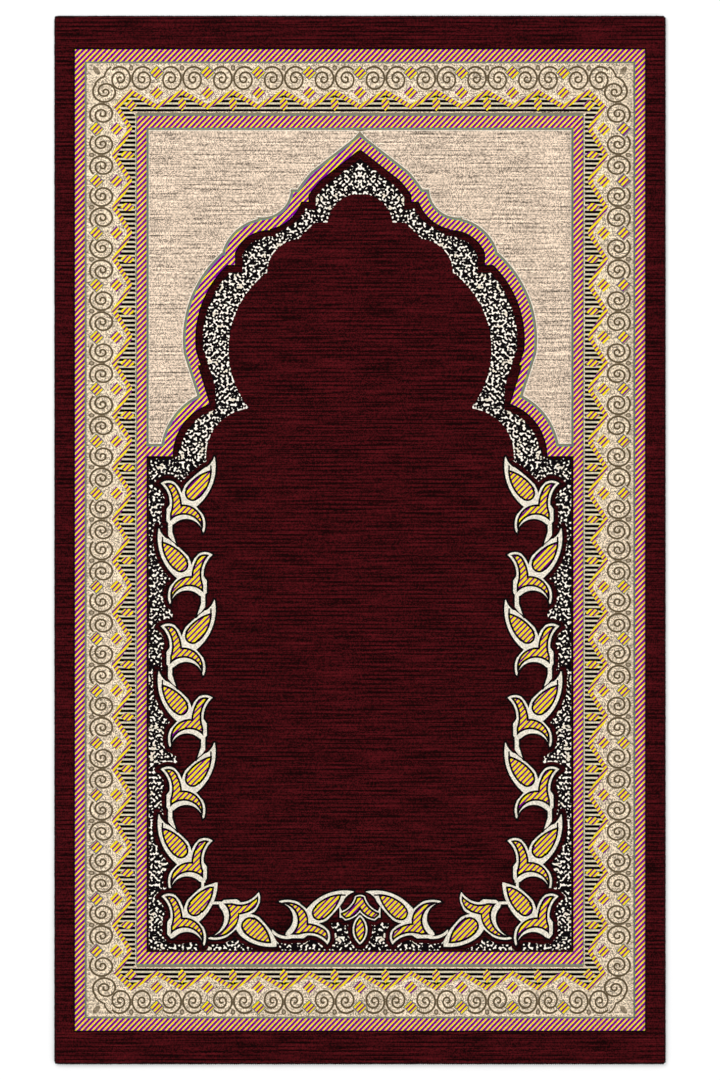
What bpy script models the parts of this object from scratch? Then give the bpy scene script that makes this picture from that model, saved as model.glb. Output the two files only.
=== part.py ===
"""Prayer rug: one flat rectangle of cut-pile cloth, lying on its back.

Metres, +Z up. The origin is the middle of the underside. +Y runs towards the point of the woven arch,
which is the head end of the rug, and +X runs to the right as the rug is seen from above.
"""

import math

import bpy
import bmesh

# Driving dimensions
RUG_WIDTH = 0.700
RUG_LENGTH = 1.200
GROUND_WEAVE_THICKNESS = 0.0012
PILE_HEIGHT = 0.0048
RUG_THICKNESS = GROUND_WEAVE_THICKNESS + PILE_HEIGHT

# The overcast edge rounds the cloth off, tightly under the ground weave and softly over the pile
UNDER_ROUND = 0.0010
PILE_ROUND = 0.0022
CORNER_RADIUS = 0.0040
EDGE_STEPS = 4
CORNER_STEPS = 6

# Finish
PILE_COLOUR = (0.040, 0.004, 0.006, 1.0)
PILE_ROUGHNESS = 0.95


def clear_scene():
    for obj in list(bpy.data.objects):
        bpy.data.objects.remove(obj, do_unlink=True)


def edge_section():
    """Inset and height of each outline, from the underside, round the edge and up onto the pile."""
    section = []
    for step in range(EDGE_STEPS + 1):
        angle = 0.5 * math.pi * step / EDGE_STEPS
        section.append((UNDER_ROUND * (1 - math.sin(angle)), UNDER_ROUND * (1 - math.cos(angle))))
    for step in range(EDGE_STEPS + 1):
        angle = 0.5 * math.pi * step / EDGE_STEPS
        inset = PILE_ROUND * (1 - math.cos(angle))
        height = RUG_THICKNESS - PILE_ROUND * (1 - math.sin(angle))
        section.append((inset, height))
    return section


def outline(inset):
    """The rug's rectangle with its four corners rounded, drawn in by the inset."""
    radius = CORNER_RADIUS - inset
    points = []
    for corner, (side_x, side_y) in enumerate(((1, 1), (-1, 1), (-1, -1), (1, -1))):
        centre_x = side_x * (RUG_WIDTH / 2 - CORNER_RADIUS)
        centre_y = side_y * (RUG_LENGTH / 2 - CORNER_RADIUS)
        for step in range(CORNER_STEPS + 1):
            angle = 0.5 * math.pi * (corner + step / CORNER_STEPS)
            points.append((centre_x + radius * math.cos(angle), centre_y + radius * math.sin(angle)))
    return points


def pile_material():
    material = bpy.data.materials.new("pile")
    material.use_nodes = True
    shader = material.node_tree.nodes["Principled BSDF"]
    shader.inputs["Base Color"].default_value = PILE_COLOUR
    shader.inputs["Roughness"].default_value = PILE_ROUGHNESS
    shader.inputs["Metallic"].default_value = 0.0
    return material


def make_rug():
    """The whole cloth as one closed solid, flat on both faces."""
    shape = bmesh.new()
    rings = []
    for inset, height in edge_section():
        rings.append([shape.verts.new((x, y, height)) for x, y in outline(inset)])
    for lower, upper in zip(rings, rings[1:]):
        for here in range(len(lower)):
            after = (here + 1) % len(lower)
            shape.faces.new((lower[here], lower[after], upper[after], upper[here]))
    shape.faces.new(reversed(rings[0]))
    shape.faces.new(rings[-1])

    mesh = bpy.data.meshes.new("rug")
    shape.to_mesh(mesh)
    shape.free()
    mesh.shade_smooth()
    mesh.set_sharp_from_angle(angle=math.radians(40))
    mesh.materials.append(pile_material())
    rug = bpy.data.objects.new("rug", mesh)
    bpy.context.scene.collection.objects.link(rug)
    return rug


clear_scene()
make_rug()
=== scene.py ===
"""A machine-woven prayer rug: ground weave, five zones of cut pile and an overcast edge."""

import math

import bmesh
import bpy
from bpy.props import FloatProperty, FloatVectorProperty, IntProperty, PointerProperty
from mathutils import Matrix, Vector


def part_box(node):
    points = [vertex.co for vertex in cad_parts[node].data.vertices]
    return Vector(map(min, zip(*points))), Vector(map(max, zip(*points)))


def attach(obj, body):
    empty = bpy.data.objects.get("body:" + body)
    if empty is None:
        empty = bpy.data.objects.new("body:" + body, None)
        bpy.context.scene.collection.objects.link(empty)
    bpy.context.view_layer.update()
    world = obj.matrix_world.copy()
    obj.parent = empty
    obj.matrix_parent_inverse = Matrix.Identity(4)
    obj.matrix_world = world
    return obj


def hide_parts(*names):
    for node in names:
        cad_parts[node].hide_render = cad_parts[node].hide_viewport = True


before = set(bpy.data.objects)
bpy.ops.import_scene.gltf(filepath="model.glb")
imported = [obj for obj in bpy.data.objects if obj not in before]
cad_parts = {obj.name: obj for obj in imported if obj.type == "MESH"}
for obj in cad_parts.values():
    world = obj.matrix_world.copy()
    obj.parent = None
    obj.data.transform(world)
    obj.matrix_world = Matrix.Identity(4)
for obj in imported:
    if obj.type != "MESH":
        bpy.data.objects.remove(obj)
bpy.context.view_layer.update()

bl_info = {
    "name": "Prayer Rug",
    "version": (1, 0, 0),
    "blender": (4, 5, 0),
    "location": "View3D > Sidebar > Prayer Rug",
    "description": "Weaves a prayer rug with an arched niche, a vine and a scroll border",
    "category": "Add Mesh",
}

# --- sizes and places ---

MM = 0.001
RUG_LOW, RUG_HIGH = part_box("rug")
RUG_WIDTH = RUG_HIGH[0] - RUG_LOW[0]
RUG_LENGTH = RUG_HIGH[1] - RUG_LOW[1]
RUG_THICKNESS = RUG_HIGH[2] - RUG_LOW[2]

# Everything that is woven is measured in millimetres from the middle of the rug,
# x to the right and y towards the point of the arch.
TUFTS_ACROSS = 600
TUFTS_ALONG = 984
TUFT_X = RUG_WIDTH / MM / TUFTS_ACROSS
TUFT_Y = RUG_LENGTH / MM / TUFTS_ALONG
RIB_PITCH = 4 * TUFT_Y

# Half width and half length of each zone of the pile, from the outside in
OVERCAST_ROOM = 1.6
EDGE = (RUG_WIDTH / MM / 2 - OVERCAST_ROOM, RUG_LENGTH / MM / 2 - OVERCAST_ROOM)
OUTER_GUARD = (325.8, 560.7)
BORDER = (314.5, 546.8)
INNER_GUARD = (255.2, 484.8)
PANEL = (244.0, 471.0)

# Random marks: usual width, usual height, seed and detail
STREAK = (50.0, 1.7, 11, 1.0)
PATCH = (60.0, 16.0, 12, 1.0)
SPECK = (3.0, 3.0, 21)
WANDER = (40.0, 22.0, 23)
CLUMP = (11.0, 11.0, 24)
JITTER = (2.0, 2.0, 31, 1.0)
FIBRE = (0.8, 0.5, 51, 2.0)
MOTTLE = (300.0, 300.0, 61, 1.0)
WAVE_SIZE = (21.0, 7.0)
TUFT_SEED, KNOT_SEED = 3, 41

# How strongly a plain ground is flecked tuft by tuft, streaked along the wefts and darkened with
# painted shade along its rib grooves
MAROON_MARKS = (1.4, 3.6, 4.2)
SAND_MARKS = (1.3, 0.8, 0.9)
BISQUE_MARKS = (1.05, 1.7, 1.6)
CALM_PATCH = 0.3
DEEPEST_SHADE = 0.15

# The slanting stripes of two yarns, and the share that the light yarn takes
STRIPE_ACROSS, STRIPE_ALONG = 6.43, 6.595
OUTER_STRIPE_START, INNER_STRIPE_START = 0.44, 0.03
GUARD_LIGHT_SHARE, GOLD_LIGHT_SHARE = 0.37, 0.55

# The dark line that closes the margin, and the fine lines beside the other bands
MARGIN_LINE = 1.6
RIM_LINE, RIM_INNER_LINE, THIN_LINE = 1.1, 2.1, 1.25


def dyed(red, green, blue):
    """A yarn colour given as 0-255 screen values, as the linear colour a shader takes."""
    linear = []
    for level in (red, green, blue):
        part = level / 255
        linear.append(part / 12.92 if part <= 0.04045 else ((part + 0.055) / 1.055) ** 2.4)
    return (*linear, 1.0)


def yarn_colour(name, description, *screen):
    return FloatVectorProperty(
        name=name, description=description, default=dyed(*screen), subtype="COLOR",
        size=4, min=0, max=1,
    )


def length(name, description, usual, least, most):
    return FloatProperty(
        name=name, description=description, default=usual, min=least, max=most,
        subtype="DISTANCE", unit="LENGTH",
    )


# --- maths in nodes ---


def by(operation):
    """A sum of figures, which adds one maths node."""

    def worked_out(self, other):
        return self.loom.maths(operation, self, other)

    return worked_out


class Figure:
    """What a node gives out, such as a number or a colour. Sums of numbers add maths nodes."""

    def __init__(self, loom, socket):
        self.loom = loom
        self.socket = socket

    __add__ = __radd__ = by("ADD")
    __sub__ = by("SUBTRACT")
    __mul__ = __rmul__ = __and__ = by("MULTIPLY")
    __truediv__ = by("DIVIDE")
    __lt__ = by("LESS_THAN")
    __gt__ = by("GREATER_THAN")
    __or__ = by("MAXIMUM")

    def __rsub__(self, other):
        return self.loom.maths("SUBTRACT", other, self)

    def __invert__(self):
        return 1.0 - self

    def __abs__(self):
        return self.loom.maths("ABSOLUTE", self)


class Loom:
    """Adds nodes to one tree and answers with figures, so that a pattern reads as maths."""

    def __init__(self, tree):
        self.tree = tree

    def node(self, kind, inputs, **settings):
        """Adds a node, with what feeds its inputs, by name or number, and its settings."""
        made = self.tree.nodes.new(kind)
        for name, value in settings.items():
            setattr(made, name, value)
        for name, value in inputs.items():
            if isinstance(value, Figure):
                self.tree.links.new(value.socket, made.inputs[name])
            else:
                made.inputs[name].default_value = value
        return made

    def figure(self, kind, inputs, out=0, **settings):
        """Adds a node and answers with one of its outputs."""
        return Figure(self, self.node(kind, inputs, **settings).outputs[out])

    def maths(self, operation, *values):
        return self.figure("ShaderNodeMath", dict(enumerate(values)), operation=operation)

    def low(self, first, *others):
        for other in others:
            first = self.maths("MINIMUM", first, other)
        return first

    def high(self, first, *others):
        for other in others:
            first = self.maths("MAXIMUM", first, other)
        return first

    def floor(self, value):
        return self.maths("FLOOR", value)

    def part(self, value):
        """What is left above the whole number."""
        return self.maths("FRACT", value)

    def nearest(self, value, pitch):
        """Distance from the nearest multiple of pitch, with its sign."""
        return value - self.floor(value / pitch + 0.5) * pitch

    def pick(self, mask, yes, no):
        return self.figure("ShaderNodeMix", {0: mask, 2: no, 3: yes}, data_type="FLOAT")

    def spot(self, x, y, z=0.0):
        return self.figure("ShaderNodeCombineXYZ", {0: x, 1: y, 2: z})

    def parts(self, spot):
        """The x, y and z of a spot."""
        made = self.node("ShaderNodeSeparateXYZ", {0: spot})
        return [Figure(self, socket) for socket in made.outputs]

    def away(self, spot, x, y):
        """Distance of a spot from a fixed place."""
        inputs = {0: spot, 1: (x, y, 0.0)}
        return self.figure("ShaderNodeVectorMath", inputs, "Value", operation="DISTANCE")

    def length(self, x, y):
        return self.away(self.spot(x, y), 0.0, 0.0)

    def disc(self, spot, x, y, radius):
        """Depth inside a disc, negative outside it."""
        return radius - self.away(spot, x, y)

    def hollow(self, spot, x, y, radius):
        """Distance outside a disc, negative inside it."""
        return self.away(spot, x, y) - radius

    def lean(self, x, y, x_share, y_share, start):
        """Depth past a slanting line."""
        return x * x_share + y * y_share + start

    def clouds(self, x, y, wide, tall, seed, detail=0.0):
        """Soft random patches of about wide by tall, from 0 to 1."""
        inputs = {"Vector": self.spot(x / wide, y / tall, seed), "Scale": 1.0, "Detail": detail}
        return self.figure("ShaderNodeTexNoise", inputs, noise_dimensions="3D")

    def chance(self, x, y, seed):
        """A random figure from 0 to 1, the same all over one tuft."""
        inputs = {"Vector": self.spot(self.floor(x / TUFT_X), self.floor(y / TUFT_Y), seed)}
        return self.figure("ShaderNodeTexWhiteNoise", inputs, "Value", noise_dimensions="3D")

    def cover(self, under, mask, over):
        """One yarn colour laid over another where mask is 1."""
        return self.figure("ShaderNodeMix", {0: mask, 6: under, 7: over}, 2, data_type="RGBA")

    def layered(self, colour, *layers):
        """Lays colours one over another, each where its mask is 1."""
        for mask, over in layers:
            colour = self.cover(colour, mask, over)
        return colour

    def shade(self, colour, amount):
        if not isinstance(colour, Figure):
            colour = tuple(colour)[:3]
        return self.figure("ShaderNodeVectorMath", {0: colour, "Scale": amount}, operation="SCALE")


# --- the woven pattern ---


class Ground:
    """What every zone of the pile shares: its place, its yarns, the marks of the weave and the
    painted shade of its rib grooves.
    """

    def __init__(self, loom, yarns, x, y):
        self.loom = loom
        self.yarns = yarns
        self.x = x
        self.y = y
        self.across = abs(x)
        self.along = abs(y)
        self.tuft = loom.chance(x, y, TUFT_SEED)
        self.streak = loom.clouds(x, y, *STREAK)
        self.patch = loom.clouds(x, y, *PATCH)
        self.beat = abs(loom.nearest(y - TUFT_Y, RIB_PITCH)) / (RIB_PITCH / 2)

    def yarn(self, colour, fleck, streaks, ribs):
        """A plain ground of one yarn. Painted shade darkens its rib grooves in lines, except in
        calm patches.
        """
        light = 1.0 + (self.tuft - 0.5) * fleck
        light = light + (self.streak - 0.5) * streaks
        # painted shade: a dark line along each rib groove, the same grooves that the relief presses
        # in
        line = self.loom.high(1.0 - self.beat * 2.0, 0.0)
        light = light - line * (self.loom.high(self.patch - CALM_PATCH, 0.0) * ribs)
        return self.loom.shade(colour, self.loom.high(light, DEEPEST_SHADE))

    def fleck(self, colour, amount):
        return self.loom.shade(colour, 1.0 + (self.tuft - 0.5) * amount)

    def slant(self, start, share):
        """1 on the light lines of the slanting two-colour stripe."""
        turn = self.x / STRIPE_ACROSS - self.y / STRIPE_ALONG - (start - 0.5)
        return abs(self.loom.part(turn) - 0.5) < share / 2

    def stripes(self, start):
        light = self.slant(start, GUARD_LIGHT_SHARE)
        both = self.loom.cover(self.yarns.purple, light, self.yarns.yellow)
        return self.fleck(both, 0.3)

    def gold(self):
        light = self.slant(INNER_STRIPE_START, GOLD_LIGHT_SHARE)
        both = self.loom.cover(self.yarns.wine, light, self.yarns.gold)
        return self.fleck(both, 0.24)

    def band_depth(self, zone, wider=0.0, longer=0.0):
        """Depth inside a zone's outline, or inside one that lies this much further out."""
        return self.loom.low(zone[0] + wider - self.across, zone[1] + longer - self.along)

    def lean(self, *line):
        """Depth past a slanting line, mirrored into all four quarters of the rug."""
        return self.loom.lean(self.across, self.along, *line)


def margin_colour(ground):
    """The plain maroon ground outside the bands, with the dark line that closes it."""
    plain = ground.yarn(ground.yarns.maroon, *MAROON_MARKS)
    line = ground.band_depth(OUTER_GUARD, MARGIN_LINE, MARGIN_LINE) > 0.0
    return ground.loom.cover(plain, line, ground.yarns.black)


def guard_colour(start):
    def colour(ground):
        return ground.stripes(start)

    return colour


# The scroll border. Its peaks point outward and repeat along each side from the middle of that
# side: where the first one stands, the pitch, and the number of the last one, counted from 0.
SCROLL_X, SCROLL_Y = 312.3, 545.1
TOP_PEAKS, SIDE_PEAKS = (29.05, 58.1, 4), (23.54, 59.5, 8)
# The slanting line through a corner that parts the long side from the short one
SIDE_DIVIDE = (0.8, -0.6, 85.5)

# A scroll: its middle, shifted on the long sides and in the corners, and how it winds
COIL_ALONG, COIL_INWARD = 13.0, 18.2
COIL_SIDE_SHIFT, COIL_CORNER_SHIFT = 0.6, 3.4
COIL_FLATNESS = 0.9
COIL_RADIUS, COIL_FIRST_STEP, COIL_STEP, COIL_EASE = 12.6, 0.15, 6.7, 2.07
COIL_START = 2.356
COIL_LAPS, COIL_LAST_LAP = 3, 0.27
COIL_LINE = 1.05

# Where the two scrolls of a corner join: along and across the line that runs into the corner
JOIN_ALONG, JOIN_HALF_LENGTH = (0.673, -0.74, 195.0), 13.0
JOIN_ACROSS, JOIN_SHIFT = (0.74, 0.673, -574.0), 1.2
JOIN_BEND, JOIN_BEND_PLACE = 0.03, 9.0

# The zigzag and the bars behind it; "side" values are added on the long sides
ZIGZAG_INWARD, ZIGZAG_SIDE_SHIFT = 29.8, 1.6
ZIGZAG_SLOPE, ZIGZAG_SIDE_SLOPE = 0.59, 0.04
ZIGZAG_RISE, ZIGZAG_WIDTH = 17.2, 6.1
ZIGZAG_CORNER_X, ZIGZAG_CORNER_Y, ZIGZAG_CORNER_SUM = 261.5, 494.9, 777.4
BAR_PITCH, BAR_HALF_WIDTH = 5.28, 1.55
BARS_START, BARS_END = 6.0, 55.4

# Lozenges: distance inward of the middle, half size inward and half size along the border
OUTER_LOZENGE = (11.0, 8.8, 8.9)
INNER_LOZENGE = (34.0, 7.8, 8.0)
PEAK_LOZENGE, PEAK_LOZENGE_CUT = (46.5, 8.2, 7.0), 4.3
# The one in the corner: its x, half width and half length, and its y
CORNER_LOZENGE, CORNER_LOZENGE_Y = (261.7, 6.8, 7.2), 496.9
LOZENGE_OUTLINE = 0.16

# Rings between the scrolls at the outer edge and soft marks where two scrolls touch, measured
# like the lozenges, and the corner buds
RING, TOUCH = (5.6, 3.3, 2.6), (17.2, 3.9, 2.0)
BUD_ALONG, BUD_HALF_LENGTH = (0.64, 0.77, -606.1), 5.6
BUD_ACROSS, BUD_HALF_WIDTH = (0.77, -0.64, 111.6), 3.0

# Taken from a depth, or added to a distance, to leave a form out
FAR = 9.0


class ScrollPlace:
    """Where a point of the scroll border lies: t along it from the nearest peak, a inward."""

    def __init__(self, ground):
        self.loom = loom = ground.loom
        x, y = ground.across, ground.along
        self.side = ground.lean(*SIDE_DIVIDE) > 0.0
        run = loom.pick(self.side, y, x)
        both = zip(SIDE_PEAKS, TOP_PEAKS)
        first, self.pitch, last = (loom.pick(self.side, side, top) for side, top in both)
        count = loom.floor((run - first) / self.pitch + 0.5)
        count = loom.low(loom.high(count, 0.0), last)
        from_peak = run - first - count * self.pitch
        self.t = abs(from_peak)
        self.a = loom.pick(self.side, SCROLL_X - x, SCROLL_Y - y)
        self.at_last = count > last - 0.5
        self.past = self.at_last & (from_peak > 0.0)

    def oval(self, inward, half_in, half_along):
        """0 in the middle of an oval on the line of a peak, 1 on its outline."""
        return self.loom.length(self.t / half_along, (self.a - inward) / half_in)


def coil_distance(ground, place):
    """Distance from the line of a scroll, which winds in ever faster, then slower again."""
    loom = ground.loom
    in_corner = place.side & place.past
    u = place.t - COIL_ALONG
    v = place.a - COIL_INWARD + place.side * COIL_SIDE_SHIFT - in_corner * COIL_CORNER_SHIFT
    v = v * COIL_FLATNESS
    radius = loom.length(u, v)
    heading = loom.maths("ARCTAN2", u, v)
    turn = loom.part((heading - COIL_START) / (2 * math.pi))
    nearest = None
    for lap in range(COIL_LAPS):
        wound = turn + lap
        line = COIL_RADIUS - wound * (COIL_FIRST_STEP + wound * (COIL_STEP - wound * COIL_EASE))
        gap = abs(radius - line)
        if lap == COIL_LAPS - 1:
            gap = gap + (turn > COIL_LAST_LAP) * FAR
        nearest = gap if nearest is None else loom.low(nearest, gap)
    # the outer ends of the two scrolls in a corner run into each other
    along = abs(ground.lean(*JOIN_ALONG))
    bend = along - JOIN_BEND_PLACE
    bow = JOIN_SHIFT - bend * bend * JOIN_BEND
    off = abs(ground.lean(*JOIN_ACROSS) - bow)
    return loom.low(nearest, loom.high(off, along - JOIN_HALF_LENGTH))


def zigzag_depth(ground, place):
    """Depth into the zigzag from its outer line, with the straight run across the corner."""
    loom = ground.loom
    rise = loom.low(place.t * (place.side * ZIGZAG_SIDE_SLOPE + ZIGZAG_SLOPE), ZIGZAG_RISE)
    slope = place.a - ZIGZAG_INWARD + place.side * ZIGZAG_SIDE_SHIFT - rise
    corner = (ZIGZAG_CORNER_SUM - ground.across - ground.along) * 0.707
    in_corner = (ground.across > ZIGZAG_CORNER_X) & (ground.along > ZIGZAG_CORNER_Y)
    return loom.pick(in_corner, corner, slope)


def lozenge(across, middle, half_across, half_run, run):
    """1 in the middle of a lozenge, 0 on its outline; run is the distance from it along."""
    return 1.0 - abs(across - middle) / half_across - run / half_run


def border_colour(ground):
    """The cream border: scrolls, rings and lozenges outside, a zigzag over bars inside."""
    loom, yarns = ground.loom, ground.yarns
    place = ScrollPlace(ground)
    bars = abs(loom.nearest(ground.y, BAR_PITCH)) < BAR_HALF_WIDTH
    barred = loom.cover(ground.fleck(yarns.pale, 0.4), bars, yarns.black)
    depth = zigzag_depth(ground, place)
    in_zigzag = (depth > 0.0) & (depth < ZIGZAG_WIDTH)
    # lozenges: none where the two halves of the side meet, none past the last peaks
    missing = ((place.side & (ground.along < SIDE_PEAKS[0])) | place.past) * FAR
    outer = lozenge(place.a, *OUTER_LOZENGE, place.pitch / 2 - place.t) - missing
    inner = lozenge(place.a, *INNER_LOZENGE, place.pitch / 2 - place.t) - missing
    peak = lozenge(place.a, *PEAK_LOZENGE, place.t) - place.at_last * FAR
    peak = loom.low(peak, PEAK_LOZENGE_CUT - place.t)
    corner = lozenge(ground.across, *CORNER_LOZENGE, abs(ground.along - CORNER_LOZENGE_Y))
    gilt = loom.high(outer - LOZENGE_OUTLINE, inner, peak, corner) > 0.0
    ring = place.oval(*RING) + (place.side & place.at_last) * FAR
    bud_along = ground.lean(*BUD_ALONG) / BUD_HALF_LENGTH
    bud = loom.length(bud_along, ground.lean(*BUD_ACROSS) / BUD_HALF_WIDTH)
    rim = ground.band_depth(BORDER)
    return loom.layered(
        ground.yarn(yarns.sand, *SAND_MARKS),
        ((depth > BARS_START) & (place.a < BARS_END), barred),
        (outer > 0.0, yarns.slate),
        ((place.oval(*TOUCH) < 1.0) * 0.68, yarns.olive),
        (coil_distance(ground, place) < COIL_LINE, yarns.olive),
        ((ring < 1.0) * 0.9, yarns.olive),
        ((ring < 0.5) * 0.4, yarns.sand),
        ((bud < 1.0) * 0.75, yarns.olive),
        (gilt | in_zigzag, ground.gold()),
        (rim < RIM_INNER_LINE, yarns.grey),
        (rim < RIM_LINE, yarns.grey_green),
        (ground.band_depth(INNER_GUARD, 0.2, 3.5) > 0.0, yarns.grey),
        (ground.band_depth(INNER_GUARD, 0.8, THIN_LINE) > 0.0, yarns.grey_green),
    )


# The lobed arch and the niche under it are drawn on the left half, from discs (the middle's x
# and y, and the radius), slanting lines (shares of x and y, and a start) and limits in x and y.
ARCH_TIP = (0.615, -0.788, 363.1)
ARCH_HEAD = (72.3, 304.0, 170.4)
ARCH_SHOULDER = (-112.0, 401.7, 36.0)
ARCH_SECOND = (-104.5, 312.9, 52.4)
ARCH_THIRD, ARCH_THIRD_FOOT = (-69.0, 229.0, 130.4), (0.952, 0.307, 123.35)
ARCH_FOURTH, ARCH_FOURTH_HEAD = (-151.0, 96.0, 74.2), (0.64, -0.77, 245.3)
NICHE_HEAD = (0.0, 358.5, 37.5)
NICHE_NECK = (0.707, -0.707, 293.1)
NICHE_SECOND = (-67.3, 305.0, 38.9)
NICHE_THIRD = (-41.3, 218.1, 108.8)
NICHE_FOURTH = (-121.9, 96.6, 53.9)


def arch_depth(ground, x, spot):
    """Depth inside the arch's outer edge; x is minus the distance from the middle."""
    loom, y = ground.loom, ground.y
    low, disc, lean = loom.low, loom.disc, loom.lean
    head = loom.high(disc(spot, *ARCH_HEAD), (x + 10.0) * 0.3)
    head = low(head, lean(x, y, *ARCH_TIP), x + 70.0)
    shoulder = low(loom.hollow(spot, *ARCH_SHOULDER), 397.8 - y, x + 114.0)
    second = low(disc(spot, *ARCH_SECOND), x + 154.0)
    third = low(325.5 - y, disc(spot, *ARCH_THIRD), lean(x, y, *ARCH_THIRD_FOOT))
    fourth = low(disc(spot, *ARCH_FOURTH), lean(x, y, *ARCH_FOURTH_HEAD))
    return loom.high(head, shoulder, second, third, fourth, 106.9 - y)


def niche_depth(ground, x, spot):
    """Depth inside the inner edge of the speckled ribbon."""
    loom, y = ground.loom, ground.y
    low, disc = loom.low, loom.disc
    head = low(disc(spot, *NICHE_HEAD), 394.8 - y)
    neck = low(loom.lean(x, y, *NICHE_NECK), 362.7 - y, x + 72.0)
    second = disc(spot, *NICHE_SECOND)
    third = disc(spot, *NICHE_THIRD)
    fourth = disc(spot, *NICHE_FOURTH)
    core = low(x + 95.0, 320.0 - y)
    foot = low(x + 214.0, 62.0 - y)
    return loom.high(head, neck, second, third, fourth, core, foot)


# One sprig of the vine, in the place of the topmost one on the left, drawn in the same way
OUTLINE = 1.4
HORN_BACK, HORN_TIP = (-245.8, 37.9, 41.1), (-219.0, 53.8, 10.3)
LOWER_HORN = (-202.1, 17.8, 21.5)
HORNS_FRONT = (-246.6, 42.4, 33.0)
CALYX_UNDER, CALYX_BASE = (-201.3, 8.0, 22.1), (-0.384, 0.923, -104.6)
RIM_UNDER, RIM_BASE = (-198.6, 4.6, 19.1), (-0.384, 0.923, -98.1)
RIM_OUTER, RIM_CORNER = (-203.5, 37.0, 37.8), (0.78, 0.625, 159.4)
RIM_END, HEEL_FRONT = (-0.75, -0.66, -114.9), (0.807, -0.59, 199.7)
LEAF_ROOT, LEAF_ROOT_CUT = (-191.3, 53.4, 7.6), (0.55, 0.835, 60.2)
LEAF_LEFT, LEAF_RIGHT = (-157.9, 32.3, 48.0), (-214.7, 80.9, 44.2)
LEAF_RIM_LEFT, LEAF_RIM_RIGHT = (-161.7, 42.3, 43.8), (-224.7, 84.4, 60.1)
LEAF_RIM_FOOT, LEAF_HOOK = (-79.8, -52.3, 167.0), (-187.9, 101.6, 21.8)
LEAF_TIP, TIP_CUT = (0.336, -1.0, 156.6), 20.0
STEM_HEAD = (0.591, 0.806, 127.9)


def sprig_depths(loom, x, y, blunt, in_second, stemless):
    """Depths into the gold fills and the cream rims of one sprig of the vine.

    It is a two-horned calyx with a leaf above it and a short stem below. blunt cuts the tip of
    the leaf, for the last sprig down the side, and in_second cuts that of its rim, for the
    second sprig along the foot. stemless leaves out the stem.
    """
    low, high, disc, hollow, lean = loom.low, loom.high, loom.disc, loom.hollow, loom.lean
    spot = loom.spot(x, y)
    upper_horn = high(disc(spot, *HORN_TIP), 54.0 - y)
    upper_horn = low(disc(spot, *HORN_BACK), upper_horn, x + 236.0)
    horns = low(high(upper_horn, disc(spot, *LOWER_HORN)), hollow(spot, *HORNS_FRONT))
    base = high(lean(x, y, *CALYX_BASE), x + 204.7)
    calyx = low(horns, hollow(spot, *CALYX_UNDER), base, high(x + 215.8, y - 48.0))
    rim_base = high(lean(x, y, *RIM_BASE), x + 201.0)
    rim_corner = lean(x, y, *RIM_CORNER)
    calyx_rim = low(horns + 4.2, hollow(spot, *RIM_UNDER), rim_base, rim_corner)
    calyx_rim = low(calyx_rim, lean(x, y, *RIM_END))
    calyx_rim = low(calyx_rim, disc(spot, *RIM_OUTER), high(x + 221.5, y - 36.0))
    heel = low(x + 221.5, lean(x, y, *HEEL_FRONT), rim_corner, -214.0 - x, y - 16.6)
    leaf_spot = loom.spot(x - blunt * 1.6, y + blunt * 2.8)
    leaf_root = high(disc(leaf_spot, *LEAF_ROOT), lean(x, y, *LEAF_ROOT_CUT))
    leaf = low(disc(leaf_spot, *LEAF_LEFT), disc(leaf_spot, *LEAF_RIGHT))
    leaf = low(leaf, leaf_root, 94.6 - blunt * TIP_CUT - y)
    hook = low(hollow(spot, *LEAF_HOOK), y - 80.0, x + 180.0)
    leaf_rim = low(disc(leaf_spot, *LEAF_RIM_LEFT), disc(leaf_spot, *LEAF_RIM_FOOT))
    tip = low(95.5 - y, lean(x, y, *LEAF_TIP) - blunt * TIP_CUT, 106.5 - in_second * TIP_CUT - y)
    leaf_rim = low(high(leaf_rim, hook), disc(leaf_spot, *LEAF_RIM_RIGHT), tip)
    slit = low(0.9 - abs(x + 170.4), 85.3 - y, y - 74.0) - OUTLINE - high(blunt, in_second) * FAR
    stem_side = high(9.0 - y, 0.0) * 0.33 - 214.2 - x
    stem = low(x + 219.7, stem_side, lean(x, y, *STEM_HEAD), 24.0 - y)
    return high(calyx, leaf, slit), high(calyx_rim, heel, leaf_rim, stem - stemless * 40.0)


# The sprigs down the side, then two along the foot, with where those two stand as shares of
# x and y and a start, and the stems and the flower that close the vine in the middle
VINE_TOP = 50.0
SPRIG_STEP, SPRIG_AXIS, LAST_SPRIG = 81.7, -198.1, 6.0
VINE_FOOT = -380.0
SECOND_ACROSS, SECOND_UP = (0.057, -0.986, -617.9), (1.245, -0.124, 159.1)
THIRD_ACROSS, THIRD_UP = (0.015, 1.011, 240.2), (1.071, -0.036, 88.1)
SQUEEZE_FROM = 38.0
STEM_HALF_WIDTH = 2.0
CURL, BARB = (-83.5, -431.4, 23.0), (-1.0, -0.5, -232.2)
FLOWER_UNDER, FLOWER_EDGE = (-29.5, -401.4, 27.2), (-19.9, -409.7, 22.5)
FLOWER_CUT, FLOWER_MIDDLE = (0.66, 0.75, 334.6), (0.0, -416.5, 8.2)
BUD = (12.8, -445.4, 18.1)


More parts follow.
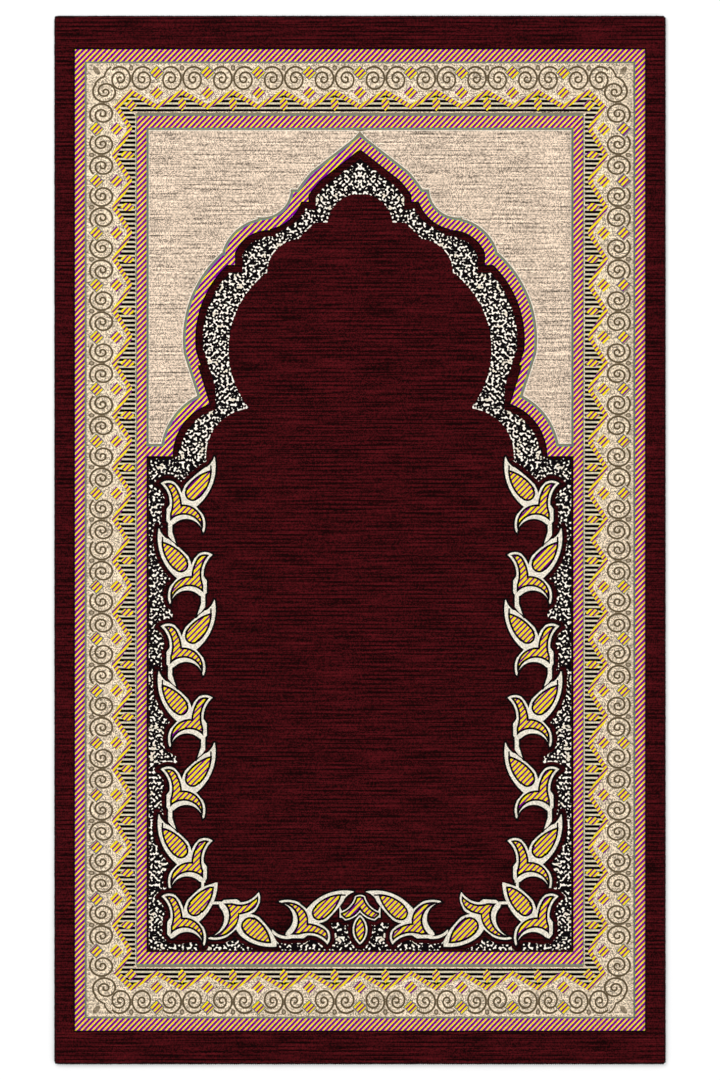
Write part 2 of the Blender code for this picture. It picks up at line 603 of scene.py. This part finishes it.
def vine_depths(ground, x, spot):
    """Depths into the fills and rims of the whole vine, on one half of the rug."""
    loom, y = ground.loom, ground.y
    low, high, pick, lean = loom.low, loom.high, loom.pick, loom.lean

    def mirrored(number):
        return 1.0 - loom.part(number / 2.0) * 4.0

    # down the side the sprigs repeat by a step and a mirror turn, and share a slanting edge
    number = loom.floor((VINE_TOP - y) / SPRIG_STEP)
    across = (x - SPRIG_AXIS) * mirrored(number)
    up = y + number * SPRIG_STEP
    above_corner = number > LAST_SPRIG - 1.5
    edge = high(-7.8, 21.3 - (across + 33.5) * 1.3) + above_corner * 18.6
    edge = low(edge, 60.0 - above_corner * 43.0)
    number = low(high(number + (up < edge), 0.0), LAST_SPRIG)
    last = number > LAST_SPRIG - 0.5
    side_x = (x - SPRIG_AXIS) * mirrored(number) + SPRIG_AXIS - last * 0.8
    side_y = y + number * SPRIG_STEP - last * 18.2
    # along the foot two more lie on their side, each turned and squeezed a little
    foot = y < VINE_FOOT
    second_start = high(low((y + 440.0) * 0.367 - 173.3, -162.4), -173.3)
    in_second = (x > second_start) & foot
    in_third = (x > high((-446.9 - y) * 0.54, 0.0) - 101.8) & foot
    second_x = lean(x, y, *SECOND_ACROSS)
    second_y = lean(x, y, *SECOND_UP)
    leaf_side = low(high((second_x + 212.0) * 0.03, 0.0), 0.22)
    second_y = second_y - high(second_y - 45.0, 0.0) * leaf_side
    second_y = second_y - low(second_y - SQUEEZE_FROM, 0.0) * 0.24
    third_x = lean(x, y, *THIRD_ACROSS)
    third_y = lean(x, y, *THIRD_UP)
    third_y = third_y - low(third_y - SQUEEZE_FROM, 0.0) * 0.14
    place_x = pick(in_third, third_x, pick(in_second, second_x, side_x))
    place_y = pick(in_third, third_y, pick(in_second, second_y, side_y))
    blunt = last & ~in_second
    stemless = high(last, in_second)
    fill, rim = sprig_depths(loom, place_x, place_y, blunt, in_second & ~in_third, stemless)
    # the stems that join them, and the flower in the middle
    link = low(STEM_HALF_WIDTH - abs(y + 414.8), x + 175.0, -158.5 - x)
    drop = low(STEM_HALF_WIDTH - abs(x + 179.8), -384.0 - y, y + 399.0)
    curl = STEM_HALF_WIDTH - abs(loom.hollow(spot, *CURL))
    curl = low(curl, -445.0 - y, -78.0 - x, (x + 101.8) * 0.4)
    flower = low(loom.hollow(spot, *FLOWER_UNDER), loom.disc(spot, *FLOWER_EDGE))
    flower = low(flower, x + 20.6, lean(x, y, *FLOWER_CUT))
    flower = low(flower, high(loom.disc(spot, *FLOWER_MIDDLE), -413.5 - y))
    barb = low(x + 23.8, lean(x, y, *BARB), y + 432.0)
    bud = loom.disc(spot, *BUD)
    joined = high(link, drop, curl, barb)
    return high(fill, flower, bud), high(rim, joined, flower + 3.2, bud + 3.6)


# The speckled ribbon: how far inside the arch's edge it starts, and how its specks are strewn
RIBBON_INSET, STEP_INSET = 19.6, 13.8
RIBBON_EDGE_X, RIBBON_EDGE_Y = 241.3, 468.9
SPECK_LIMIT, SPARSE_LIMIT, SPARSE_WIDTH = 0.575, 0.05, 7.0
CLUMP_LIMIT = 0.64
NICHE_LINE, NICHE_LINE_HALF_WIDTH = 0.9, 0.65
BESIDE_WIDTH, BESIDE_SHADE = 6.0, 0.35
VINE_GAP = 5.2

# The stripe inside the arch's edge and the dark line past it
ARCH_STRIPE, ARCH_DARK_LINE = 11.0, 12.6
STRIPE_FOOT = (0.957, 0.29, 119.6)
CLOSING_LINE = 1.4


def ribbon_colour(ground, x, colour, arch, niche, rim):
    """The speckled ribbon under the arch and down the sides, with a darker ground beside it."""
    loom, yarns = ground.loom, ground.yarns
    low, high, y = loom.low, loom.high, ground.y
    blots = loom.clouds(x, y, *SPECK) + (ground.tuft - 0.5) * 0.06
    clump = high(loom.clouds(x, y, *CLUMP) - CLUMP_LIMIT, 0.0)
    wander = loom.clouds(x, y, *WANDER) * 16.0 - 8.0
    # a strip runs down the side and along the foot, with a ragged inner edge
    foot_strip = (x + 20.6) * 0.14 - 436.0 - y
    side_strip = low(high(-214.0 - x + wander, foot_strip), 92.0 - y)
    under_arch = low(0.0 - niche, y - 60.0)
    beside = high(under_arch, side_strip + BESIDE_WIDTH) > 0.0
    colour = loom.shade(colour, 1.0 - beside * BESIDE_SHADE)
    # its outer edge follows the arch, with square corners beside two of the lobes
    necks = high(3.0 - abs(x + 86.0) * 0.1, 0.0)
    third_corner = low(x + 165.3, 200.0 - y)
    fourth_corner = low(x + 208.7, 106.0 - y)
    outer = high(arch - RIBBON_INSET + necks, third_corner, fourth_corner)
    under_step = low(arch - STEP_INSET, under_arch, -196.0 - x, 96.0 - y)
    speckled = high(low(outer, under_arch), under_step, side_strip)
    speckled = low(speckled, -VINE_GAP - rim, x + RIBBON_EDGE_X, y + RIBBON_EDGE_Y)
    sparse = high(1.0 - low(speckled, outer) / SPARSE_WIDTH, 0.0)
    line = (abs(niche + NICHE_LINE) < NICHE_LINE_HALF_WIDTH) & (blots > 0.5)
    specks = (blots > SPECK_LIMIT + sparse * SPARSE_LIMIT - clump) | line
    speck_yarn = ground.fleck(loom.cover(yarns.cream, low(clump * 6.0, 0.6), yarns.pale), 0.2)
    speckled = speckled > 0.0
    return loom.layered(colour, (speckled, yarns.black), (speckled & specks, speck_yarn))


def panel_colour(ground):
    """The niche: plain field, speckled ribbon, striped arch, pale spandrels and the vine."""
    loom, yarns = ground.loom, ground.yarns
    low, high = loom.low, loom.high
    x, y = -1.0 * ground.across, ground.y
    spot = loom.spot(x, y)
    arch = arch_depth(ground, x, spot)
    niche = niche_depth(ground, x, spot)
    fill, rim = vine_depths(ground, x, spot)
    field = ground.yarn(yarns.maroon, *MAROON_MARKS)
    stripe_depth = high(arch, low(loom.lean(x, y, *STRIPE_FOOT), 200.0 - y) + ARCH_STRIPE)
    # fine lines past the arch's outer edge
    inset = low(arch * -0.82, ground.band_depth(PANEL))
    fine = loom.cover(yarns.grey, inset < THIN_LINE, yarns.grey_green)
    widened = 2.5 + high(x + 8.0, 0.0) * 0.2
    # a dark line inside the guard stripe, beside the field only
    closing = ground.band_depth(PANEL, -CLOSING_LINE, -CLOSING_LINE) < 0.0
    return loom.layered(
        ribbon_colour(ground, x, field, arch, niche, rim),
        (stripe_depth < ARCH_DARK_LINE, yarns.black),
        (stripe_depth < ARCH_STRIPE, ground.stripes(INNER_STRIPE_START)),
        (arch < 0.0, ground.yarn(yarns.bisque, *BISQUE_MARKS)),
        # painted highlight: a pale ecru fringe just outside the fine lines, beside the arch and the
        # panel's edge
        ((inset > 0.0) & (inset < widened + 0.8), ground.fleck(yarns.ecru, 0.4)),
        ((inset > 0.0) & (inset < widened), fine),
        (rim > -1.7, yarns.black),
        (rim > 0.5, ground.fleck(yarns.ecru, 0.5)),
        (fill > -OUTLINE, yarns.black),
        (fill > 0.9, ground.gold()),
        (closing & (arch > ARCH_STRIPE), yarns.black),
    )


# --- finishes ---


def new_material(name):
    """An empty material, its loom, and the place of a point in millimetres."""
    material = bpy.data.materials.new(name)
    material.use_nodes = True
    material.node_tree.nodes.clear()
    loom = Loom(material.node_tree)
    place = loom.figure("ShaderNodeTexCoord", {}, "Object")
    return material, loom, [part / MM for part in loom.parts(place)]


def bump(loom, height, depth):
    return loom.figure("ShaderNodeBump", {"Strength": 1.0, "Distance": depth, "Height": height})


def finish_material(loom, surface):
    shader = loom.figure("ShaderNodeBsdfPrincipled", surface)
    loom.node("ShaderNodeOutputMaterial", {"Surface": shader})


def pile_material(name, yarns, colour_of):
    """Cut pile: the zone's pattern, a little lighter and darker tuft by tuft."""
    material, loom, (x, y, _) = new_material(name)
    jitter = loom.clouds(x, y, *JITTER)
    ground = Ground(loom, yarns, x + (jitter - 0.5) * 0.7, y)
    surface = {
        "Base Color": colour_of(ground),
        "Roughness": 0.82 + ground.tuft * 0.14,
        "Sheen Weight": 0.01,
        "Sheen Roughness": 0.5,
        "Specular IOR Level": 0.03,
        "Normal": bump(loom, ground.tuft * 0.6 + jitter * 0.5, 0.00035),
    }
    finish_material(loom, surface)
    return material


def backing_material(yarns):
    """The back of the weave: stiff tan wefts over a warp, with a little pile yarn between."""
    material, loom, (x, y, _) = new_material("ground_weave_yarn")
    weft = abs(loom.nearest(y, 2 * TUFT_Y)) / TUFT_Y
    warp = abs(loom.nearest(x, 2 * TUFT_X)) / TUFT_X
    knot = loom.chance(x, y, KNOT_SEED)
    # painted shade: the tan is darker in the grooves between wefts and between warps, where the
    # bump is low; the knots vary it at random
    light = 0.75 + weft * 0.25 + warp * 0.1 + (knot - 0.5) * 0.3
    tan = loom.shade(yarns.jute, light)
    shows = (knot > 0.72) & (warp < 0.5)
    surface = {
        "Base Color": loom.cover(tan, shows * 0.6, yarns.maroon),
        "Roughness": 0.8 + knot * 0.15,
        "Specular IOR Level": 0.2,
        "Normal": bump(loom, weft + warp * 0.5 + knot * 0.3, 0.0003),
    }
    finish_material(loom, surface)
    return material


def overcast_material(yarns):
    """The dark yarn wound over the edge."""
    material, loom, (x, y, z) = new_material("overcast_yarn")
    fibre = loom.clouds(x + y, z * 3.0, *FIBRE)
    surface = {
        "Base Color": loom.shade(yarns.edge, 0.6 + fibre * 0.8),
        "Roughness": 0.7 + fibre * 0.25,
        "Specular IOR Level": 0.06,
        "Normal": bump(loom, fibre, 0.0002),
    }
    finish_material(loom, surface)
    return material


def floor_material():
    material, loom, (x, y, _) = new_material("studio_floor")
    mottle = loom.clouds(x, y, *MOTTLE)
    surface = {
        "Base Color": loom.shade((0.93, 0.93, 0.93), 0.99 + mottle * 0.02),
        "Roughness": 0.9,
        "Specular IOR Level": 0.1,
    }
    finish_material(loom, surface)
    return material


# --- geometry ---


def steps(start, stop, pitch):
    """Even steps from start to stop, both included, no longer than pitch."""
    count = max(1, math.ceil((stop - start) / pitch - 1e-6))
    return [start + (stop - start) * index / count for index in range(count + 1)]


def lattice_lines(halves, pitch):
    """Lattice lines on both sides of the middle that run through each of the given halves."""
    marks = sorted({0.0, *halves})
    right = [0.0]
    for near, far in zip(marks, marks[1:]):
        right += steps(near, far, pitch)[1:]
    return [-value for value in reversed(right[1:])] + right


def rounded_corner(x, y, half_x, half_y, radius):
    """Draws a lattice point of a square corner in onto the rounded one."""
    over_x = abs(x) - (half_x - radius)
    over_y = abs(y) - (half_y - radius)
    if over_x <= 0 or over_y <= 0:
        return x, y
    pull = max(over_x, over_y) / math.hypot(over_x, over_y)
    new_x = half_x - radius + over_x * pull
    new_y = half_y - radius + over_y * pull
    return math.copysign(new_x, x), math.copysign(new_y, y)


def slab_mesh(name, xs, ys, hole, bottom, top, corner):
    """A closed slab on a lattice, in millimetres, with a rectangular hole where one is given."""
    half_x, half_y = xs[-1], ys[-1]
    columns, rows = len(xs) - 1, len(ys) - 1

    def kept(column, row):
        if not (0 <= column < columns and 0 <= row < rows):
            return False
        if hole is None:
            return True
        mid_x = (xs[column] + xs[column + 1]) / 2
        mid_y = (ys[row] + ys[row + 1]) / 2
        return abs(mid_x) > hole[0] or abs(mid_y) > hole[1]

    points, faces, index = [], [], {}

    def corner_of(column, row, level):
        key = (column, row, level)
        if key not in index:
            x, y = xs[column], ys[row]
            if corner:
                x, y = rounded_corner(x, y, half_x, half_y, corner)
            index[key] = len(points)
            points.append((x * MM, y * MM, level * MM))
        return index[key]

    for row in range(rows):
        for column in range(columns):
            if not kept(column, row):
                continue
            around = [(column, row), (column + 1, row), (column + 1, row + 1), (column, row + 1)]
            faces.append([corner_of(c, r, top) for c, r in around])
            faces.append([corner_of(c, r, bottom) for c, r in reversed(around)])
            beyond = [(column, row - 1), (column + 1, row), (column, row + 1), (column - 1, row)]
            for side, neighbour in enumerate(beyond):
                if kept(*neighbour):
                    continue
                (c0, r0), (c1, r1) = around[side], around[(side + 1) % 4]
                low = [corner_of(c0, r0, bottom), corner_of(c1, r1, bottom)]
                faces.append(low + [corner_of(c1, r1, top), corner_of(c0, r0, top)])
    mesh = bpy.data.meshes.new(name)
    mesh.from_pydata(points, [], faces)
    mesh.validate()
    mesh.update()
    return mesh


def new_tree(name, takes, inputs, gives):
    """An empty tree from one geometry to another, with its inputs at their usual values."""
    tree = bpy.data.node_groups.new(name, "GeometryNodeTree")
    tree.is_modifier = True
    add = tree.interface.new_socket
    add(name=takes, in_out="INPUT", socket_type="NodeSocketGeometry")
    for label, value in inputs.items():
        kind = "NodeSocketInt" if isinstance(value, int) else "NodeSocketFloat"
        add(name=label, in_out="INPUT", socket_type=kind).default_value = value
    add(name="Material", in_out="INPUT", socket_type="NodeSocketMaterial")
    add(name=gives, in_out="OUTPUT", socket_type="NodeSocketGeometry")
    loom = Loom(tree)
    sockets = loom.node("NodeGroupInput", {}).outputs
    return loom, {socket.name: Figure(loom, socket) for socket in sockets if socket.name}


def finish_tree(loom, geometry, material):
    """Ends a tree in Realize Instances and Set Material."""
    real = loom.figure("GeometryNodeRealizeInstances", {0: geometry})
    dressed = loom.figure("GeometryNodeSetMaterial", {"Geometry": real, "Material": material})
    loom.node("NodeGroupOutput", {0: dressed})
    return loom.tree


def relief_tree(name, upward):
    """Presses the ribs of the wefts into one face of a slab and rounds its outer edge."""
    inputs = {
        "Face Height": 0.0,
        "Rib Pitch": RIB_PITCH,
        "Rib Depth": 0.25,
        "Unevenness": 0.3,
        "Edge Round": 2.2,
        "Half Width": EDGE[0],
        "Half Length": EDGE[1],
        "Seed": 5.0,
    }
    loom, given = new_tree(name, "Slab", inputs, "Slab")
    place = loom.figure("GeometryNodeInputPosition", {})
    x, y, z = (part / MM for part in loom.parts(place))
    rib = abs(loom.nearest(y - TUFT_Y, given["Rib Pitch"])) / (given["Rib Pitch"] * 0.5)
    patch = loom.clouds(x, y, *PATCH)
    wave = loom.clouds(x, y, *WAVE_SIZE, given["Seed"], 2.0) - 0.5
    sunk = (1.0 - rib) * (given["Rib Depth"] * (patch + 0.5)) + wave * given["Unevenness"]
    sunk = loom.high(sunk + 0.15, 0.0)
    to_edge = loom.low(given["Half Width"] - abs(x), given["Half Length"] - abs(y))
    steep = loom.high(1.0 - to_edge / given["Edge Round"], 0.0)
    round_off = 1.0 - loom.maths("SQRT", loom.high(1.0 - steep * steep, 0.0))
    sunk = sunk + round_off * given["Edge Round"]
    on_face = abs(z - given["Face Height"]) < 0.05
    shift = loom.spot(0.0, 0.0, sunk * (on_face * (-MM if upward else MM)))
    moved = loom.figure("GeometryNodeSetPosition", {"Geometry": given["Slab"], "Offset": shift})
    return finish_tree(loom, moved, given["Material"])


def overcast_tree(pitch):
    """Slanting wraps of yarn, one after the other round a rounded rectangle."""
    inputs = {
        "Path Width": 0.69,
        "Path Length": 1.19,
        "Corner Radius": 0.003,
        "Stitch Pitch": pitch,
        "Yarn Half Height": 0.0022,
        "Yarn Half Width": 0.0016,
        "Stitch Height": 0.0026,
        "Slant": 0.4,
        "Seed": 7,
    }
    loom, given = new_tree("overcast_stitches", "Base", inputs, "Stitches")
    inputs = {"Width": given["Path Width"], "Height": given["Path Length"]}
    path = loom.figure("GeometryNodeCurvePrimitiveQuadrilateral", inputs)
    inputs = {"Curve": path, "Count": 6, "Radius": given["Corner Radius"]}
    path = loom.figure("GeometryNodeFilletCurve", inputs, mode="POLY")
    inputs = {"Curve": path, "Length": given["Stitch Pitch"]}
    path = loom.figure("GeometryNodeResampleCurve", inputs, mode="LENGTH")
    inputs = {"Vertices": 8, "Side Segments": 3, "Radius": 1.0, "Depth": 2.0}
    wrap = loom.figure("GeometryNodeMeshCylinder", inputs, fill_type="NGON")
    # the wrap bulges in its middle
    place = loom.figure("GeometryNodeInputPosition", {})
    end = loom.parts(place)[2]
    swell = 1.0 - end * end * 0.42
    inputs = {0: place, 1: loom.spot(swell, swell, 1.0)}
    bulge = loom.figure("ShaderNodeVectorMath", inputs, operation="MULTIPLY")
    wrap = loom.figure("GeometryNodeSetPosition", {"Geometry": wrap, "Position": bulge})
    # it leans over the edge, and no two are quite as thick
    tangent = loom.figure("GeometryNodeInputTangent", {})
    along = loom.figure("FunctionNodeAlignRotationToVector", {"Vector": tangent}, axis="Z")
    slant = loom.figure("FunctionNodeEulerToRotation", {0: loom.spot(0.0, given["Slant"])})
    inputs = {0: along, 1: slant}
    turn = loom.figure("FunctionNodeRotateRotation", inputs, rotation_space="LOCAL")
    inputs = {2: 0.94, 3: 1.06, "Seed": given["Seed"]}
    size = loom.figure("FunctionNodeRandomValue", inputs, 1, data_type="FLOAT")
    height = given["Yarn Half Height"] * size
    width = given["Yarn Half Width"] * size
    scale = loom.spot(height, height, width)
    inputs = {"Points": path, "Instance": wrap, "Rotation": turn, "Scale": scale}
    wraps = loom.figure("GeometryNodeInstanceOnPoints", inputs)
    lift = loom.spot(0.0, 0.0, given["Stitch Height"])
    wraps = loom.figure("GeometryNodeTransform", {"Geometry": wraps, "Translation": lift})
    return finish_tree(loom, wraps, given["Material"])


def grown(name, mesh, tree, inputs):
    """Runs a tree on a mesh and keeps the result as a plain object named name."""
    source = bpy.data.objects.new(name + "_source", mesh)
    bpy.context.scene.collection.objects.link(source)
    modifier = source.modifiers.new("weave", "NODES")
    modifier.node_group = tree
    for item in tree.interface.items_tree:
        if item.item_type == "SOCKET" and item.in_out == "INPUT" and item.name in inputs:
            modifier[item.identifier] = inputs[item.name]
    graph = bpy.context.evaluated_depsgraph_get()
    plain = bpy.data.meshes.new_from_object(source.evaluated_get(graph))
    plain.name = name
    bpy.data.objects.remove(source)
    bpy.data.meshes.remove(mesh)
    piece = bpy.data.objects.new(name, plain)
    bpy.context.scene.collection.objects.link(piece)
    return piece


# --- what a user may change ---


class RugSizes(bpy.types.PropertyGroup):
    ground_thickness: length("Ground weave", "Thickness of the ground weave", 0.0012, 0.0005, 0.003)
    rib_depth: length("Rib depth", "How deep the weft ribs are pressed in", 0.00028, 0.0, 0.001)
    unevenness: length("Unevenness", "How much the pile's height wanders", 0.0005, 0.0, 0.002)
    stitch_pitch: length("Stitch pitch", "From one wrap to the next", 0.0024, 0.0015, 0.006)
    seed: IntProperty(name="Seed", description="Seed of the stitches' small differences", default=7)


class RugYarns(bpy.types.PropertyGroup):
    maroon: yarn_colour("Maroon", "Ground of the field and the margin", 57, 8, 12)
    black: yarn_colour("Black", "Outlines and the ribbon's ground", 9, 5, 7)
    cream: yarn_colour("Cream", "Specks of the ribbon", 246, 236, 224)
    ecru: yarn_colour("Ecru", "Rims of the vine", 223, 215, 199)
    pale: yarn_colour("Pale", "Ground between the black bars", 206, 194, 168)
    yellow: yarn_colour("Yellow", "Light lines of the guard stripes", 241, 218, 0)
    purple: yarn_colour("Purple", "Dark lines of the guard stripes", 122, 0, 140)
    gold: yarn_colour("Gold", "Light lines of leaves, lozenges and zigzag", 230, 209, 20)
    wine: yarn_colour("Wine", "Dark lines of leaves, lozenges and zigzag", 110, 0, 122)
    sand: yarn_colour("Sand", "Ground of the scroll border", 211, 193, 168)
    bisque: yarn_colour("Bisque", "Ground of the spandrels", 209, 188, 167)
    olive: yarn_colour("Olive", "Scrolls and rings of the border", 88, 74, 52)
    grey_green: yarn_colour("Grey green", "Fine lines beside the bands", 104, 132, 116)
    grey: yarn_colour("Grey", "Fine lines beside the pale grounds", 128, 116, 96)
    slate: yarn_colour("Slate", "Outlines of the outer lozenges", 88, 98, 104)
    jute: yarn_colour("Jute", "Wefts on the back", 168, 140, 104)
    edge: yarn_colour("Edge", "Overcast edge", 18, 5, 7)


def sizes():
    return bpy.context.scene.rug_sizes


def yarns():
    return bpy.context.scene.rug_yarns


# --- pieces ---


# The slabs: pitch of the lattice columns, corner radius, and the insets of the rows that round
# the pile's edge. The back lies in from the edge of the pile.
PILE_COLUMN, BACK_COLUMN = 10.0, 15.0
PILE_CORNER, BACK_CORNER = 1.6, 1.2
PILE_EDGE_ROWS = (0.35, 0.9, 2.2)
BACK_INSET = 0.6
# The overcast wraps stand on a path this far in from the edge of the rug, in metres
STITCH_INSET = 0.0023


def pile_zone(name, zone, hole, colour_of, edge=False):
    """One zone of the cut pile, from the ground weave up to the cut ends of the tufts."""
    insets = (0.0, *PILE_EDGE_ROWS) if edge else (0.0,)
    column_marks, row_marks = ({half - inset for inset in insets} for half in zone)
    if hole:
        column_marks.add(hole[0])
        row_marks.add(hole[1])
    xs = lattice_lines(column_marks, PILE_COLUMN)
    ys = lattice_lines(row_marks, TUFT_Y)
    top = RUG_THICKNESS / MM
    corner = PILE_CORNER if edge else 0.0
    mesh = slab_mesh(name, xs, ys, hole, sizes().ground_thickness / MM, top, corner)
    tree = relief_tree(name + "_relief", True)
    inputs = {
        "Face Height": top,
        "Rib Pitch": RIB_PITCH,
        "Rib Depth": sizes().rib_depth / MM,
        "Unevenness": sizes().unevenness / MM,
        "Material": pile_material(name + "_yarn", yarns(), colour_of),
    }
    piece = grown(name, mesh, tree, inputs)
    piece.data.shade_smooth()
    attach(piece, "root")
    return piece


class RUG_OT_ground_weave(bpy.types.Operator):
    """Weaves the ground: warp and weft, ribbed on the back"""

    bl_idname = "rug.ground_weave"
    bl_label = "Ground Weave"

    def execute(self, context):
        half_x, half_y = (half - BACK_INSET for half in EDGE)
        xs = lattice_lines({half_x}, BACK_COLUMN)
        ys = lattice_lines({half_y}, TUFT_Y)
        top = sizes().ground_thickness / MM - 0.02
        mesh = slab_mesh("ground_weave", xs, ys, None, 0.0, top, BACK_CORNER)
        tree = relief_tree("ground_weave_relief", False)
        inputs = {
            "Face Height": 0.0,
            "Rib Pitch": 2 * TUFT_Y,
            "Rib Depth": 0.22,
            "Unevenness": 0.1,
            "Edge Round": 0.4,
            "Half Width": half_x,
            "Half Length": half_y,
            "Material": backing_material(yarns()),
        }
        piece = grown("ground_weave", mesh, tree, inputs)
        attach(piece, "root")
        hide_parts("rug")
        return {"FINISHED"}


class RUG_OT_pile_margin(bpy.types.Operator):
    """Cuts the pile of the plain maroon margin"""

    bl_idname = "rug.pile_margin"
    bl_label = "Margin"

    def execute(self, context):
        pile_zone("pile_margin", EDGE, OUTER_GUARD, margin_colour, edge=True)
        return {"FINISHED"}


class RUG_OT_pile_guards(bpy.types.Operator):
    """Cuts the pile of the two striped guard bands"""

    bl_idname = "rug.pile_guards"
    bl_label = "Guard Stripes"

    def execute(self, context):
        pile_zone("pile_outer_guard", OUTER_GUARD, BORDER, guard_colour(OUTER_STRIPE_START))
        pile_zone("pile_inner_guard", INNER_GUARD, PANEL, guard_colour(INNER_STRIPE_START))
        return {"FINISHED"}


class RUG_OT_pile_border(bpy.types.Operator):
    """Cuts the pile of the cream scroll border"""

    bl_idname = "rug.pile_border"
    bl_label = "Scroll Border"

    def execute(self, context):
        pile_zone("pile_border", BORDER, INNER_GUARD, border_colour)
        return {"FINISHED"}


class RUG_OT_pile_panel(bpy.types.Operator):
    """Cuts the pile of the arched niche with its vine"""

    bl_idname = "rug.pile_panel"
    bl_label = "Niche Panel"

    def execute(self, context):
        pile_zone("pile_panel", PANEL, None, panel_colour)
        return {"FINISHED"}


class RUG_OT_overcast_edge(bpy.types.Operator):
    """Winds dark yarn over all four edges"""

    bl_idname = "rug.overcast_edge"
    bl_label = "Overcast Edge"

    def execute(self, context):
        tree = overcast_tree(sizes().stitch_pitch)
        inputs = {
            "Path Width": RUG_WIDTH - 2 * STITCH_INSET,
            "Path Length": RUG_LENGTH - 2 * STITCH_INSET,
            "Corner Radius": 0.0015,
            "Stitch Pitch": sizes().stitch_pitch,
            "Seed": sizes().seed,
            "Material": overcast_material(yarns()),
        }
        piece = grown("overcast_edge", bpy.data.meshes.new("overcast_base"), tree, inputs)
        piece.data.shade_smooth()
        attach(piece, "root")
        return {"FINISHED"}


class RUG_OT_declare_cloth(bpy.types.Operator):
    """Takes no step of its own and finishes at once"""

    bl_idname = "rug.declare_cloth"
    bl_label = "Declare Cloth"

    def execute(self, context):
        return {"FINISHED"}


# The floor's half size in metres and its cells, the camera's sensor and lens in millimetres,
# and the height of the picture as a share of the rug's length
FLOOR_HALF, FLOOR_CELLS = 6.0, 8
SENSOR_HEIGHT, LENS = 24.0, 85.0
FRAMED_SHARE = 1080 / 1050


def area_light(name, place, size, watts):
    """A soft square light that faces the middle of the rug."""
    data = bpy.data.lights.new(name, "AREA")
    data.shape = "SQUARE"
    data.size = size
    data.energy = watts
    light = bpy.data.objects.new(name, data)
    light.location = place
    light.rotation_euler = (-Vector(place)).to_track_quat("-Z", "Y").to_euler()
    bpy.context.scene.collection.objects.link(light)


class RUG_OT_stage(bpy.types.Operator):
    """Sets the pale floor, the soft light and the camera straight above"""

    bl_idname = "rug.stage"
    bl_label = "Stage"

    def execute(self, context):
        scene = bpy.context.scene
        mesh = bpy.data.meshes.new("floor")
        shape = bmesh.new()
        bmesh.ops.create_grid(
            shape, x_segments=FLOOR_CELLS, y_segments=FLOOR_CELLS, size=FLOOR_HALF
        )
        shape.to_mesh(mesh)
        shape.free()
        floor = bpy.data.objects.new("floor", mesh)
        mesh.materials.append(floor_material())
        scene.collection.objects.link(floor)
        world = bpy.data.worlds.new("studio")
        world.use_nodes = True
        sky = world.node_tree.nodes["Background"].inputs
        sky["Color"].default_value = (1.0, 1.0, 1.0, 1.0)
        sky["Strength"].default_value = 0.75
        scene.world = world
        area_light("key", (-1.6, 1.9, 2.6), 2.4, 62.0)
        area_light("fill", (2.2, -1.4, 2.8), 3.0, 28.0)
        scene.view_settings.view_transform = "Standard"
        camera_data = bpy.data.cameras.new("camera")
        camera_data.sensor_fit = "VERTICAL"
        camera_data.sensor_height = SENSOR_HEIGHT
        camera_data.lens = LENS
        camera = bpy.data.objects.new("camera", camera_data)
        # far enough up for the rug's length to fill all but a narrow margin of the picture
        rise = RUG_LENGTH * FRAMED_SHARE * LENS / SENSOR_HEIGHT
        camera.location = (0.0, 0.0, RUG_THICKNESS + rise)
        scene.collection.objects.link(camera)
        scene.camera = camera
        return {"FINISHED"}


PIECES = (
    RUG_OT_ground_weave,
    RUG_OT_pile_margin,
    RUG_OT_pile_guards,
    RUG_OT_pile_border,
    RUG_OT_pile_panel,
    RUG_OT_overcast_edge,
    RUG_OT_declare_cloth,
    RUG_OT_stage,
)


class RUG_PT_sidebar(bpy.types.Panel):
    bl_label = "Prayer Rug"
    bl_idname = "RUG_PT_sidebar"
    bl_space_type = "VIEW_3D"
    bl_region_type = "UI"
    bl_category = "Prayer Rug"

    def draw(self, context):
        for group in (context.scene.rug_sizes, context.scene.rug_yarns):
            box = self.layout.box()
            for name in group.bl_rna.properties.keys():
                if name not in {"rna_type", "name"}:
                    box.prop(group, name)
        for piece in PIECES:
            self.layout.operator(piece.bl_idname)


CLASSES = (RugSizes, RugYarns, *PIECES, RUG_PT_sidebar)


def register():
    for each in CLASSES:
        bpy.utils.register_class(each)
    bpy.types.Scene.rug_sizes = PointerProperty(type=RugSizes)
    bpy.types.Scene.rug_yarns = PointerProperty(type=RugYarns)


def unregister():
    del bpy.types.Scene.rug_yarns
    del bpy.types.Scene.rug_sizes
    for each in reversed(CLASSES):
        bpy.utils.unregister_class(each)


def main():
    register()
    bpy.ops.rug.stage()
    bpy.ops.rug.ground_weave()
    bpy.ops.rug.pile_margin()
    bpy.ops.rug.pile_guards()
    bpy.ops.rug.pile_border()
    bpy.ops.rug.pile_panel()
    bpy.ops.rug.overcast_edge()
    bpy.ops.rug.declare_cloth()


if __name__ == "__main__":
    main()
